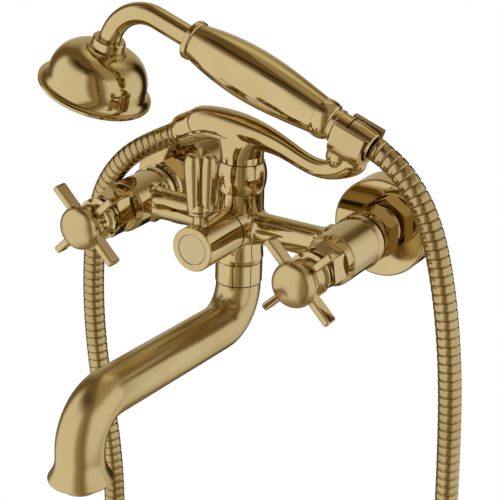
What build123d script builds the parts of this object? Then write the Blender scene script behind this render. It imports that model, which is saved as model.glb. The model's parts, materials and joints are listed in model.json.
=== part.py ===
from build123d import *
from math import cos, pi, radians, sin, tan
import os

# Wall mounted bath mixer with two cross handles, a diverter lever, a swivel spout,
# and a hand shower on a swivel cradle with its hose.
# Millimetres. +Z is up, -Y points out of the wall, +X is to the right.
# The origin is on the wall, midway between the two inlets.

# Gaps between pieces
fit_gap = 0.1
turn_gap = 0.06
seam_gap = 0.3

# Small steps that soften the edges of turned and cast pieces
edge_break = 0.7
soft_edge = 1.4

# Inlets and wall
inlet_spacing = 150.0
wall_to_bar = 62.0
inlet_thread_radius = 10.48
inlet_tail_length = 15.0
inlet_bore_radius = 6.5
inlet_chamfer = 1.0
union_shoulder = 4.0
union_thread_radius = 13.2
union_hex_across = 24.0
flange_radius = 31.4
flange_depth = 20.0
flange_wall = 1.6
flange_edge_round = 1.5
flange_hole_gap = 1.3
union_nut_front = 20.0
union_nut_length = 17.0
union_nut_across = 31.0
union_nut_collar_radius = 16.6
union_nut_collar_length = 4.0
washer_thickness = 2.0
washer_inset = 1.0

# Body casting
bar_radius = 9.7
bar_bore_radius = 6.0
bar_flare_length = 9.0
bar_flare_height = 3.2
bar_overlap = 3.0
valve_radius = 16.0
valve_front = 20.0
valve_back = 10.0
bead_length = 7.0
bead_radius = 17.0
bead_slope = 2.0
chamber_radius = 11.2
chamber_floor = -2.0
column_radius = 14.8
column_top = 22.6
column_bottom = 20.5
column_taper = 0.4
column_band = 4.0
column_skirt_radius = 14.7
column_skirt_bottom = 23.1
column_bore_radius = 9.6
column_stub_radius = 12.4
column_stub_length = 4.0
socket_radius = 14.2
socket_front = 18.0
diverter_bore_radius = 9.4

# Headworks and handles
headwork_collar_radius = 15.8
headwork_collar_length = 5.2
headwork_across = 25.2
headwork_hex_length = 13.8
headwork_hex_turns = {"left": 20.0, "right": 8.7}
headwork_ring_radius = 12.0
headwork_ring_length = 2.0
headwork_neck_radius = 9.0
headwork_neck_length = 3.6
headwork_inner_radius = 8.4
disc_thickness = 3.0
disc_port_radius = 2.6
seat_seal_thickness = 3.0
seat_seal_bore = 5.4
spindle_radius = 4.0
spindle_drive_length = 4.0
o_ring_section = 1.6
spindle_o_ring_depth = 3.0
spigot_groove_steps = (3.0, 7.0)
handle_hub_radius = 9.0
handle_hub_front_radius = 10.3
handle_hub_flare_radius = 13.6
handle_hub_flare_length = 1.6
handle_back = 45.4
handle_front = 62.0
arm_length = 29.8
arm_thickness = 4.6
arm_root_width = 8.6
arm_tip_width = 9.2
arm_count = 4
arm_start_angle = 45.0
arm_root_overlap = 3.0
arm_tip_round = 1.6
arm_edge_round = 1.3
cap_radius = 13.8
cap_rim = 2.2
cap_height = 9.6
cap_stem_radius = 5.6
cap_stem_length = 3.0
cap_stem_wall = 1.4
handle_screw_radius = 2.0
handle_screw_head_radius = 3.9
handle_screw_head = 3.0
handle_screw_key_radius = 1.5
handle_screw_length = 11.0
handle_floor = 1.5
screw_end_room = 1.0

# Diverter
knob_radius = 13.7
knob_front = 54.3
knob_wall = 2.0
knob_web = 8.0
knob_web_back = 30.0
knob_edge_round = 0.9
knob_rim_depth = 0.25
knob_rim_slope = 0.25
knob_disc_radius = 9.3
knob_disc_edge = 0.25
knob_disc_thickness = 3.0
diverter_shank = 22.0
diverter_neck_radius = 7.6
diverter_neck_length = 9.0
diverter_spindle_radius = 3.5
diverter_gate_radius = 8.9
diverter_gate_thickness = 4.0
lever_forward = 45.2
lever_neck_radius = 4.7
lever_neck_wall = 1.5
lever_neck_top = 20.6
lever_ring_radius = 8.4
lever_ring_height = 2.8
lever_top = 58.2
lever_petals = 3
lever_groove_turn = 30.0
lever_petal_offset = 4.5
lever_petal_lean = 1.6
lever_petal_base = 3.9
lever_petal_belly = 5.6
lever_petal_crown = 4.5
lever_petal_round = 1.9
lever_cuff_radius = 7.9
lever_cuff_height = 6.0
lever_core_radius = 4.7
lever_dish_depth = 3.2

# Spout
spout_nut_radius = 14.7
spout_nut_length = 14.7
spout_nut_lip = 6.3
spout_tube_radius = 14.1
spout_bore_radius = 7.0
spout_drop = 63.4
spout_reach = 164.6
spout_rise = 6.6
spout_root_bend = 23.5
spout_end_bend = 25.5
spout_end = 100.8
spout_spigot_radius = 9.5
spout_flange_radius = 12.0
spout_flange_thickness = 3.0
spout_spigot_top = 12.0
bell_mouth_radius = 18.4
bell_mouth_height = 14.0
bell_lip = 1.6
aerator_radius = 11.2
aerator_drop = 5.8
aerator_thread_radius = 10.2
aerator_thread_length = 6.0
aerator_wall = 1.6
aerator_gasket_thickness = 2.0
insert_length = 7.0
insert_cells = 5
insert_cell_radius = 1.25
insert_web = 0.35

# Riser and cradle
riser_ring_top = 41.2
riser_ring_radius = 14.2
riser_ring_belly = 15.8
cradle_neck_radius = 13.4
cradle_neck_straight = 4.0
cradle_web_top = 59.0
cradle_web_half_length = 20.0
cradle_web_half_width = 9.0
cradle_spigot_radius = 9.5
cradle_spigot_bottom = 12.0
cradle_bore_radius = 6.0
passage_height = 60.5
passage_length = 20.0
outlet_x = -31.0
outlet_z = 57.8
outlet_slope = 27.0
outlet_radius = 10.4
outlet_thread_radius = 8.33
outlet_thread_length = 9.0
outlet_bore_radius = 5.5
arm_waist_radius = 5.6
saddle_radius = 14.0
saddle_offset = 1.5
saddle_bore_radius = 9.9
saddle_front = 6.7
saddle_back = -14.0
saddle_lip = 6.8
saddle_root_radius = 8.4
saddle_root_x = 66.8
saddle_root_z = 57.0

# Hand shower. Distances along the handle run from a point in the saddle towards the bell.
seat_x = 73.2
seat_z = 71.6
handset_tilt = 19.4
tail_seam = 1.5
tail_radius = 9.5
tail_bead_at = 9.0
tail_bead_radius = 10.2
tail_bead_width = 2.0
bead_round = 0.4
tail_thread_start = -7.8
tail_socket_depth = 8.0
collar_start = 13.6
collar_crown = 0.5
grip_start = 22.2
grip_end = 113.0
ferrule_length = 4.6
ferrule_radius = 12.6
grip_end_radius = 11.6
grip_belly_radius = 16.3
grip_belly_at = 70.0
grip_bore_radius = 8.2
inner_pipe_radius = 7.6
inner_pipe_wall = 1.6
inner_pipe_gap = 1.0
neck_radius = 6.9
neck_wall = 1.5
neck_overlap = 12.0
neck_seat = 1.0
neck_bend = 28.0
bell_axis = 171.8
bell_rim_drop = 67.2
bell_shoulder_radius = 32.0
bell_rim_flare = 5.0
bell_rim_thickness = 2.8
bell_shoulder_height = 9.0
bell_dome_height = 29.8
bell_collar_radius = 10.6
bell_collar_foot_radius = 12.8
bell_collar_step = 1.6
bell_collar_top = 38.0
bell_wall = 1.6
spray_plate_overhang = 1.2
spray_plate_recess = 0.5
spray_plate_thickness = 1.8
spray_gasket_thickness = 1.2
spray_gasket_width = 2.0
nozzle_radius = 0.9
nozzle_ring_step = 5.6
nozzle_rings = 5

# Hose and its nuts
hose_radius = 7.0
hose_nut_radius = 9.5
hose_nut_end_radius = 8.5
hose_nut_end = -15.8
hose_nut_shoulder = 6.0
hose_end_gap = 1.0
hose_washer_thickness = 2.0
left_nut_length = 16.4
left_nut_end_radius = 7.8
hose_left_lead = 33.0
hose_route = [
    (-78.8, 0.0, 31.6),
    (-91.6, 0.5, 19.8),
    (-102.2, 1.0, 5.0),
    (-109.4, 1.5, -14.0),
    (-113.6, 2.0, -40.0),
    (-115.3, 2.0, -75.0),
    (-112.5, 1.0, -112.0),
    (-106.3, 0.0, -150.0),
    (-98.3, -1.0, -190.0),
    (-94.6, -2.5, -235.0),
    (-94.0, -4.0, -287.0),
    (-92.0, -5.5, -340.0),
    (-81.0, -7.0, -391.0),
    (-58.0, -8.0, -436.0),
    (-19.0, -8.5, -468.0),
    (32.0, -8.0, -478.0),
    (81.0, -7.0, -464.0),
    (118.0, -5.5, -431.0),
    (141.0, -4.0, -387.0),
    (151.0, -2.5, -335.0),
    (154.2, -1.5, -279.0),
    (154.0, -0.5, -224.0),
    (152.6, 0.5, -171.0),
    (150.8, 0.5, -119.0),
    (147.8, 0.5, -70.0),
    (142.6, 0.5, -31.0),
    (136.0, 0.5, 0.0),
    (128.8, 0.0, 23.6),
    (119.6, 0.0, 40.6),
    (109.6, 0.0, 52.6),
    (99.4, 0.0, 61.0),
]


def forward_plane(x):
    """A plane whose first axis runs forward from the bar's axis, with height as its second."""
    return Plane(origin=(x, -wall_to_bar, 0), x_dir=(0, -1, 0), z_dir=(-1, 0, 0))


def flat(plane, points):
    """A closed outline of straight sides on a plane."""
    with BuildSketch(plane) as outline:
        with BuildLine():
            Polyline(*points, close=True)
        make_face()
    return outline.sketch


def own_axis(plane):
    """The line along a plane's first axis."""
    return Axis(plane.origin, plane.x_dir)


def spun(plane, angle):
    """The same plane turned about its own normal, in degrees."""
    turn = radians(angle)
    across = plane.x_dir * cos(turn) + plane.y_dir * sin(turn)
    return Plane(origin=plane.origin, x_dir=across, z_dir=plane.z_dir)


def end_face(plane, along):
    """A plane square to another plane's first axis, at a distance along it."""
    origin = plane.origin + plane.x_dir * along
    return Plane(origin=origin, x_dir=plane.y_dir, z_dir=plane.x_dir)


def turned(plane, points):
    """A solid of revolution about a plane's first axis, from (along, radius) points."""
    return revolve(flat(plane, points), axis=own_axis(plane), mode=Mode.PRIVATE)


def tube(plane, start, end, outer, inner=0.0):
    """A straight tube or rod along a plane's first axis."""
    return turned(plane, [(start, inner), (end, inner), (end, outer), (start, outer)])


def hexagon(plane, start, end, across, turn=0.0):
    """A hexagonal bar along a plane's first axis, turned in degrees, with its corners broken."""
    with BuildPart() as bar:
        with BuildSketch(end_face(plane, start)):
            RegularPolygon(radius=across / 2, side_count=6, major_radius=False, rotation=turn)
        extrude(amount=end - start)
        corner = across / 2 / cos(radians(30))
        cut = corner - across / 2
        add(
            turned(
                plane,
                [
                    (start, 0),
                    (start, corner - cut / 2),
                    (start + cut / 2, corner),
                    (end - cut / 2, corner),
                    (end, corner - cut / 2),
                    (end, 0),
                ],
            ),
            mode=Mode.INTERSECT,
        )
    return bar.part


def o_ring(plane, along, inner):
    """A round rubber ring about a plane's first axis, with its inner radius."""
    with BuildSketch(plane) as section:
        with Locations((along, inner + o_ring_section / 2)):
            Circle((o_ring_section - turn_gap) / 2)
    return revolve(section.sketch, axis=own_axis(plane), mode=Mode.PRIVATE)


def handle_arm(plane, angle):
    """One flat arm of a cross handle, with rounded edges, at an angle about the plane's first axis."""
    across = spun(end_face(plane, handle_front - arm_tip_width / 2), angle)
    arm = Plane(origin=across.origin, x_dir=across.x_dir, z_dir=across.y_dir)
    root = handle_hub_radius - arm_root_overlap
    with BuildPart() as blade:
        with BuildSketch(arm) as outline:
            with BuildLine():
                Polyline(
                    (root, -arm_root_width / 2),
                    (arm_length, -arm_tip_width / 2),
                    (arm_length, arm_tip_width / 2),
                    (root, arm_root_width / 2),
                    close=True,
                )
            make_face()
            fillet(outline.vertices().sort_by(Axis.X)[-2:], radius=arm_tip_round)
        extrude(amount=arm_thickness / 2, both=True)
        broad_faces = blade.faces().sort_by(lambda face: abs(face.normal_at().dot(arm.z_dir)))[-2:]
        fillet(broad_faces.edges(), radius=arm_edge_round)
    return blade.part


def save(piece, name):
    """Names a finished piece and writes its file."""
    piece.label = name
    export_step(piece, f"parts/{name}.step")


os.makedirs("parts", exist_ok=True)
bar_y = -wall_to_bar
sides = {"left": -inlet_spacing / 2, "right": inlet_spacing / 2}
column = Plane(origin=(0, bar_y, 0), x_dir=(0, 0, 1), z_dir=(1, 0, 0))
centre = forward_plane(0)

# Body casting: the cross bar, two valve bodies, the column and the diverter socket
valve_tail_end = -(union_nut_front + washer_thickness)
bar_plane = Plane(origin=(0, bar_y, 0), x_dir=(1, 0, 0), z_dir=(0, -1, 0))
bar_half = inlet_spacing / 2
with BuildPart() as mixer_body:
    for x in sides.values():
        valve = forward_plane(x)
        add(tube(valve, -valve_back, valve_front, valve_radius))
        bead_back = -valve_back - bead_length
        add(
            turned(
                valve,
                [
                    (bead_back, 0),
                    (bead_back, bead_radius - bead_slope),
                    (bead_back + bead_slope, bead_radius),
                    (-valve_back - soft_edge, bead_radius),
                    (-valve_back, bead_radius - soft_edge),
                    (-valve_back, 0),
                ],
            )
        )
        add(tube(valve, valve_tail_end, -valve_back, union_thread_radius - 2 * fit_gap))
    with BuildSketch(bar_plane):
        with BuildLine():
            root = column_radius - bar_overlap
            end = bar_half - valve_radius + bar_overlap
            top = Spline(
                (root, bar_radius + bar_flare_height),
                (root + bar_flare_length, bar_radius),
                tangents=[(0.6, -1), (1, 0)],
            )
            run = Line(top @ 1, (end - bar_flare_length, bar_radius))
            flare = Spline(
                run @ 1,
                (end, bar_radius + bar_flare_height),
                tangents=[(1, 0), (0.6, 1)],
            )
            Polyline(flare @ 1, (bar_half, bar_radius + bar_flare_height), (bar_half, 0), (0, 0))
            Polyline((0, 0), (0, bar_radius + bar_flare_height), top @ 0)
        make_face()
        mirror(about=Plane.YZ)
    revolve(axis=own_axis(bar_plane))
    add(
        turned(
            column,
            [
                (-column_skirt_bottom, 0),
                (-column_skirt_bottom, column_skirt_radius),
                (-column_bottom, column_radius + column_taper),
                (-column_bottom + column_band, column_radius),
                (column_top, column_radius - column_taper),
                (column_top, 0),
            ],
        )
    )
    add(tube(column, column_top, column_top + column_stub_length, column_stub_radius))
    stub_bottom = -column_skirt_bottom - column_stub_length
    add(tube(column, stub_bottom, -column_skirt_bottom, column_stub_radius))
    add(tube(centre, 0, socket_front, socket_radius))
    outer_edges = mixer_body.edges().filter_by(GeomType.CIRCLE).group_by(Axis.Y)[0]
    fillet(outer_edges, radius=edge_break)
    for x in sides.values():
        valve = forward_plane(x)
        add(tube(valve, chamber_floor, valve_front, chamber_radius), mode=Mode.SUBTRACT)
        add(tube(valve, valve_tail_end, 0, inlet_bore_radius), mode=Mode.SUBTRACT)
    bore = bar_half - chamber_radius + edge_break
    add(tube(bar_plane, -bore, bore, bar_bore_radius), mode=Mode.SUBTRACT)
    add(
        tube(column, stub_bottom, column_top + column_stub_length, column_bore_radius),
        mode=Mode.SUBTRACT,
    )
    shank_back = socket_front - diverter_shank
    add(tube(centre, shank_back, socket_front, diverter_bore_radius), mode=Mode.SUBTRACT)
save(mixer_body.part, "mixer_body")

# Wall unions, nuts, washers and flanges
flange_front = wall_to_bar - flange_depth
nut_end = union_nut_front + union_nut_length
for side, x in sides.items():
    valve = forward_plane(x)
    with BuildPart() as wall_union:
        start = -wall_to_bar - inlet_tail_length
        hex_start = -wall_to_bar + union_shoulder
        hex_end = -flange_front - union_shoulder
        add(tube(valve, start, hex_start, inlet_thread_radius))
        add(hexagon(valve, hex_start, hex_end, union_hex_across))
        thread_end = valve_tail_end - washer_thickness - fit_gap
        add(tube(valve, hex_end, thread_end, union_thread_radius - 2 * fit_gap))
        add(tube(valve, start, 0, inlet_bore_radius), mode=Mode.SUBTRACT)
        inlet_edges = wall_union.edges().filter_by(GeomType.CIRCLE).group_by(Axis.Y)[-1]
        chamfer(inlet_edges.sort_by(SortBy.LENGTH)[-1], inlet_chamfer)
    save(wall_union.part, f"{side}_wall_union")

    with BuildPart() as washer:
        add(
            tube(
                valve,
                valve_tail_end - washer_thickness,
                valve_tail_end - fit_gap,
                union_thread_radius - washer_inset,
                inlet_bore_radius,
            )
        )
    save(washer.part, f"{side}_inlet_washer")

    with BuildPart() as union_nut:
        collar_end = -union_nut_front - union_nut_collar_length
        add(
            turned(
                valve,
                [
                    (collar_end, 0),
                    (collar_end, union_nut_collar_radius),
                    (-union_nut_front - soft_edge, union_nut_collar_radius),
                    (-union_nut_front, union_nut_collar_radius - soft_edge),
                    (-union_nut_front, 0),
                ],
            )
        )
        add(hexagon(valve, -nut_end, collar_end, union_nut_across))
        add(tube(valve, -nut_end, -union_nut_front, union_thread_radius), mode=Mode.SUBTRACT)
    save(union_nut.part, f"{side}_union_nut")

    with BuildPart() as flange:
        inner = flange_radius - flange_wall
        hole = union_thread_radius + flange_hole_gap
        add(
            turned(
                valve,
                [
                    (-wall_to_bar, inner),
                    (-wall_to_bar, flange_radius),
                    (-flange_front, flange_radius),
                    (-flange_front, hole),
                    (-flange_front - flange_wall, hole),
                    (-flange_front - flange_wall, inner),
                ],
            )
        )
        rim = flange.edges().filter_by(GeomType.CIRCLE).group_by(Axis.Y)[0].sort_by(SortBy.LENGTH)[-1]
        fillet(rim, radius=flange_edge_round)
    save(flange.part, f"{side}_flange")

# Headworks with ceramic discs, and the cross handles
collar_front = valve_front + headwork_collar_length
headwork_front = collar_front + headwork_hex_length
ring_front = headwork_front + headwork_ring_length
neck_front = ring_front + headwork_neck_length
seal_front = chamber_floor + seat_seal_thickness
fixed_front = seal_front + disc_thickness
turning_front = fixed_front + disc_thickness
drive_front = turning_front + spindle_drive_length
ring_at = headwork_front - spindle_o_ring_depth
spindle_end = handle_front - cap_stem_length - handle_screw_head - handle_floor - screw_end_room
for side, x in sides.items():
    valve = forward_plane(x)
    with BuildPart() as headwork:
        add(
            turned(
                valve,
                [
                    (valve_front + fit_gap, 0),
                    (valve_front + fit_gap, headwork_collar_radius - edge_break),
                    (valve_front + fit_gap + edge_break, headwork_collar_radius),
                    (valve_front + soft_edge, headwork_collar_radius),
                    (collar_front, headwork_collar_radius - soft_edge),
                    (collar_front, 0),
                ],
            )
        )
        add(tube(valve, seal_front, valve_front + soft_edge, chamber_radius - fit_gap))
        hex_turn = headwork_hex_turns[side]
        add(hexagon(valve, collar_front, headwork_front, headwork_across, hex_turn))
        add(tube(valve, headwork_front, ring_front, headwork_ring_radius))
        add(tube(valve, ring_front, neck_front, headwork_neck_radius))
        add(
            tube(valve, seal_front, drive_front + fit_gap, headwork_inner_radius),
            mode=Mode.SUBTRACT,
        )
        add(tube(valve, 0, neck_front, spindle_radius + turn_gap), mode=Mode.SUBTRACT)
        groove_radius = spindle_radius + turn_gap + o_ring_section
        add(tube(valve, ring_at, ring_at + o_ring_section, groove_radius), mode=Mode.SUBTRACT)
    save(headwork.part, f"{side}_headwork")

    with BuildPart() as spindle_ring:
        add(o_ring(valve, ring_at + o_ring_section / 2, spindle_radius + turn_gap))
    save(spindle_ring.part, f"{side}_spindle_o_ring")

    with BuildPart() as seat_seal:
        seal_back = chamber_floor + fit_gap
        seal_radius = chamber_radius - 2 * fit_gap
        add(tube(valve, seal_back, seal_front - fit_gap, seal_radius, seat_seal_bore))
    save(seat_seal.part, f"{side}_seat_seal")

    disc_radius = headwork_inner_radius - turn_gap
    for label, back in (("fixed_disc", seal_front), ("turning_disc", fixed_front)):
        with BuildPart() as disc:
            add(tube(valve, back + turn_gap / 2, back + disc_thickness - turn_gap / 2, disc_radius))
            with BuildSketch(end_face(valve, back)):
                with PolarLocations(disc_radius / 2, 2):
                    Circle(disc_port_radius)
            extrude(amount=disc_thickness, mode=Mode.SUBTRACT)
        save(disc.part, f"{side}_{label}")

    with BuildPart() as spindle:
        add(tube(valve, turning_front + turn_gap, drive_front - turn_gap, disc_radius))
        add(tube(valve, turning_front + turn_gap, spindle_end, spindle_radius))
        screw_room = handle_screw_length + screw_end_room
        add(
            tube(valve, spindle_end - screw_room, spindle_end, handle_screw_radius + fit_gap),
            mode=Mode.SUBTRACT,
        )
    save(spindle.part, f"{side}_spindle")

    with BuildPart() as handle:
        with BuildSketch(valve):
            with BuildLine():
                skirt = Polyline((handle_back, 0), (handle_back, handle_hub_flare_radius - edge_break))
                edge = Line(skirt @ 1, (handle_back + edge_break, handle_hub_flare_radius))
                rim = Line(edge @ 1, (handle_back + handle_hub_flare_length, handle_hub_flare_radius))
                waist = Spline(
                    rim @ 1,
                    ((handle_back + handle_front) / 2, handle_hub_radius),
                    (handle_front, handle_hub_front_radius),
                    tangents=[(0.3, -1), (1, 0.15)],
                )
                Polyline(waist @ 1, (handle_front, 0), skirt @ 0)
            make_face()
        revolve(axis=own_axis(valve))
        for number in range(arm_count):
            add(handle_arm(valve, arm_start_angle + number * 360 / arm_count))
        spindle_room = spindle_end + handle_floor / 2
        add(tube(valve, handle_back, spindle_room, spindle_radius + turn_gap), mode=Mode.SUBTRACT)
        head_room = handle_screw_head_radius + fit_gap
        pocket_floor = spindle_end + handle_floor
        add(tube(valve, pocket_floor, handle_front, head_room), mode=Mode.SUBTRACT)
        add(tube(valve, spindle_end, handle_front, handle_screw_radius + fit_gap), mode=Mode.SUBTRACT)
        stem_room = cap_stem_radius + fit_gap
        add(tube(valve, handle_front - cap_stem_length, handle_front, stem_room), mode=Mode.SUBTRACT)
    save(handle.part, f"{side}_handle")

    with BuildPart() as handle_screw:
        head_back = pocket_floor + fit_gap
        add(tube(valve, spindle_end - handle_screw_length, head_back, handle_screw_radius))
        add(tube(valve, head_back, head_back + handle_screw_head, handle_screw_head_radius))
        with BuildSketch(end_face(valve, head_back + handle_screw_head / 2)):
            RegularPolygon(radius=handle_screw_key_radius, side_count=6)
        extrude(amount=handle_screw_head, mode=Mode.SUBTRACT)
    save(handle_screw.part, f"{side}_handle_screw")

    with BuildPart() as cap:
        cap_back = handle_front + fit_gap
        with BuildSketch(valve):
            with BuildLine():
                back_line = Line((cap_back, 0), (cap_back, cap_radius - edge_break))
                edge = Line(back_line @ 1, (cap_back + edge_break, cap_radius))
                band = Line(edge @ 1, (cap_back + cap_rim, cap_radius))
                dome = Spline(
                    band @ 1,
                    (cap_back + cap_height * 0.8, cap_radius * 0.66),
                    (cap_back + cap_height, 0),
                    tangents=[(1, -0.12), (0, -1)],
                )
                Line(dome @ 1, back_line @ 0)
            make_face()
        revolve(axis=own_axis(valve))
        stem_back = cap_back - cap_stem_length
        stem_end = cap_back + cap_rim
        add(tube(valve, stem_back, stem_end, cap_stem_radius, cap_stem_radius - cap_stem_wall))
    save(cap.part, f"{side}_handle_cap")

# Diverter: cartridge, spindle, gate, knob, disc, screw and lever
with BuildPart() as diverter_cartridge:
    neck_end = socket_front + diverter_neck_length
    add(tube(centre, shank_back, socket_front, diverter_bore_radius - fit_gap))
    add(tube(centre, socket_front, neck_end, diverter_neck_radius))
    gate_room = diverter_gate_thickness + 2 * fit_gap
    add(
        tube(centre, shank_back, shank_back + gate_room, diverter_gate_radius + turn_gap),
        mode=Mode.SUBTRACT,
    )
    add(tube(centre, shank_back, neck_end, diverter_spindle_radius + turn_gap), mode=Mode.SUBTRACT)
save(diverter_cartridge.part, "diverter_cartridge")

knob_back = socket_front + seam_gap
web_front = knob_web_back + knob_web
with BuildPart() as diverter_spindle:
    spindle_front = web_front - screw_end_room
    add(tube(centre, shank_back + fit_gap, spindle_front, diverter_spindle_radius))
    gate_front = shank_back + diverter_gate_thickness
    add(tube(centre, shank_back + fit_gap, gate_front, diverter_gate_radius))
    with BuildSketch(end_face(centre, shank_back)):
        with Locations((diverter_gate_radius, 0)):
            Rectangle(diverter_gate_radius, diverter_gate_radius)
    extrude(amount=diverter_gate_thickness, mode=Mode.SUBTRACT)
    tapped_back = spindle_front - handle_screw_length
    add(
        tube(centre, tapped_back, spindle_front, handle_screw_radius + fit_gap),
        mode=Mode.SUBTRACT,
    )
save(diverter_spindle.part, "diverter_spindle")

with BuildPart() as diverter_knob:
    add(tube(centre, knob_back, knob_front, knob_radius))
    hollow = knob_radius - knob_wall
    add(tube(centre, knob_back, knob_web_back, hollow), mode=Mode.SUBTRACT)
    add(tube(centre, knob_web_back, web_front, diverter_spindle_radius + turn_gap), mode=Mode.SUBTRACT)
    add(
        tube(centre, web_front, knob_front, knob_disc_radius + fit_gap),
        mode=Mode.SUBTRACT,
    )
    front_edges = diverter_knob.edges().filter_by(GeomType.CIRCLE).group_by(Axis.Y)[0]
    rim_inner, rim_outer = front_edges.sort_by(SortBy.LENGTH)
    chamfer(rim_inner, knob_rim_slope)
    fillet(rim_outer, radius=knob_edge_round)
    with BuildSketch(Plane(origin=(0, bar_y - lever_forward, 0))):
        Circle(lever_neck_radius - lever_neck_wall)
    extrude(amount=2 * knob_radius, mode=Mode.SUBTRACT)
save(diverter_knob.part, "diverter_knob")

with BuildPart() as diverter_screw:
    screw_seat = web_front + fit_gap
    add(tube(centre, tapped_back + screw_end_room, screw_seat, handle_screw_radius))
    screw_top = screw_seat + handle_screw_head
    add(tube(centre, screw_seat, screw_top, handle_screw_head_radius + screw_end_room))
save(diverter_screw.part, "diverter_screw")

with BuildPart() as diverter_disc:
    disc_back = knob_front - knob_disc_thickness - knob_rim_depth
    add(tube(centre, disc_back, knob_front - knob_rim_depth, knob_disc_radius))
    face_edges = diverter_disc.edges().filter_by(GeomType.CIRCLE).group_by(Axis.Y)[0]
    fillet(face_edges, radius=knob_disc_edge)
save(diverter_disc.part, "diverter_disc")

lever_plane = Plane(origin=(0, bar_y - lever_forward, 0), x_dir=(0, 0, 1), z_dir=(1, 0, 0))
lever_seat = (knob_radius**2 - lever_neck_radius**2) ** 0.5
ring_top = lever_neck_top + lever_ring_height
with BuildPart() as diverter_lever:
    for number in range(lever_petals):
        turn = radians(lever_groove_turn + (number + 0.5) * 360 / lever_petals)
        lean = radians(lever_petal_lean)
        root_y = bar_y - lever_forward - lever_petal_offset * cos(turn)
        petal_plane = Plane(
            origin=(lever_petal_offset * sin(turn), root_y, ring_top),
            x_dir=(sin(lean) * sin(turn), -sin(lean) * cos(turn), cos(lean)),
            z_dir=(cos(turn), sin(turn), 0),
        )
        petal_length = lever_top - ring_top
        with BuildSketch(petal_plane):
            with BuildLine():
                side = Spline(
                    (0, lever_petal_base),
                    (0.6 * petal_length, lever_petal_belly),
                    (petal_length - lever_petal_round, lever_petal_crown),
                    tangents=[(1, 0.12), (1, -0.45)],
                )
                tip = ThreePointArc(
                    side @ 1,
                    (petal_length - 0.3 * lever_petal_round, lever_petal_crown - 0.6 * lever_petal_round),
                    (petal_length, lever_petal_crown - 1.4 * lever_petal_round),
                )
                Polyline(tip @ 1, (petal_length, 0), (0, 0), side @ 0)
            make_face()
        revolve(axis=own_axis(petal_plane))
    add(tube(lever_plane, ring_top, lever_top - edge_break, lever_core_radius))
    with BuildSketch(lever_plane):
        with BuildLine():
            cuff = Spline(
                (ring_top, lever_cuff_radius),
                (ring_top + lever_cuff_height, lever_core_radius),
                tangents=[(1, 0), (1, -0.8)],
            )
            Polyline(cuff @ 1, (ring_top + lever_cuff_height, 0), (ring_top, 0), cuff @ 0)
        make_face()
    revolve(axis=own_axis(lever_plane))
    crown_radius = lever_petal_offset + lever_petal_crown
    add(
        turned(
            lever_plane,
            [
                (lever_top - lever_dish_depth, 0),
                (lever_top + edge_break, crown_radius),
                (lever_top + edge_break, 0),
            ],
        ),
        mode=Mode.SUBTRACT,
    )
    add(
        turned(
            lever_plane,
            [
                (lever_neck_top, 0),
                (lever_neck_top, lever_ring_radius - edge_break),
                (lever_neck_top + edge_break, lever_ring_radius),
                (ring_top - edge_break, lever_ring_radius),
                (ring_top, lever_ring_radius - edge_break),
                (ring_top, 0),
            ],
        )
    )
    add(tube(lever_plane, lever_seat - soft_edge, lever_neck_top, lever_neck_radius))
    add(tube(centre, knob_back, knob_front, knob_radius + fit_gap), mode=Mode.SUBTRACT)
    peg_radius = lever_neck_radius - lever_neck_wall - fit_gap
    add(tube(lever_plane, knob_disc_radius + soft_edge, lever_neck_top, peg_radius))
save(diverter_lever.part, "diverter_lever")

# Spout with its nut, O-rings and aerator
nut_top = -column_skirt_bottom - fit_gap
nut_bottom = -column_skirt_bottom - spout_nut_length
with BuildPart() as spout_nut:
    add(
        turned(
            column,
            [
                (nut_bottom, 0),
                (nut_bottom, spout_nut_radius - edge_break),
                (nut_bottom + edge_break, spout_nut_radius),
                (nut_top - edge_break, spout_nut_radius),
                (nut_top, spout_nut_radius - edge_break),
                (nut_top, 0),
            ],
        )
    )
    flange_floor = nut_bottom + spout_nut_lip
    add(tube(column, flange_floor, nut_top, column_stub_radius + fit_gap), mode=Mode.SUBTRACT)
    add(tube(column, nut_bottom, flange_floor, spout_spigot_radius + 2 * fit_gap), mode=Mode.SUBTRACT)
save(spout_nut.part, "spout_nut")

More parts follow.
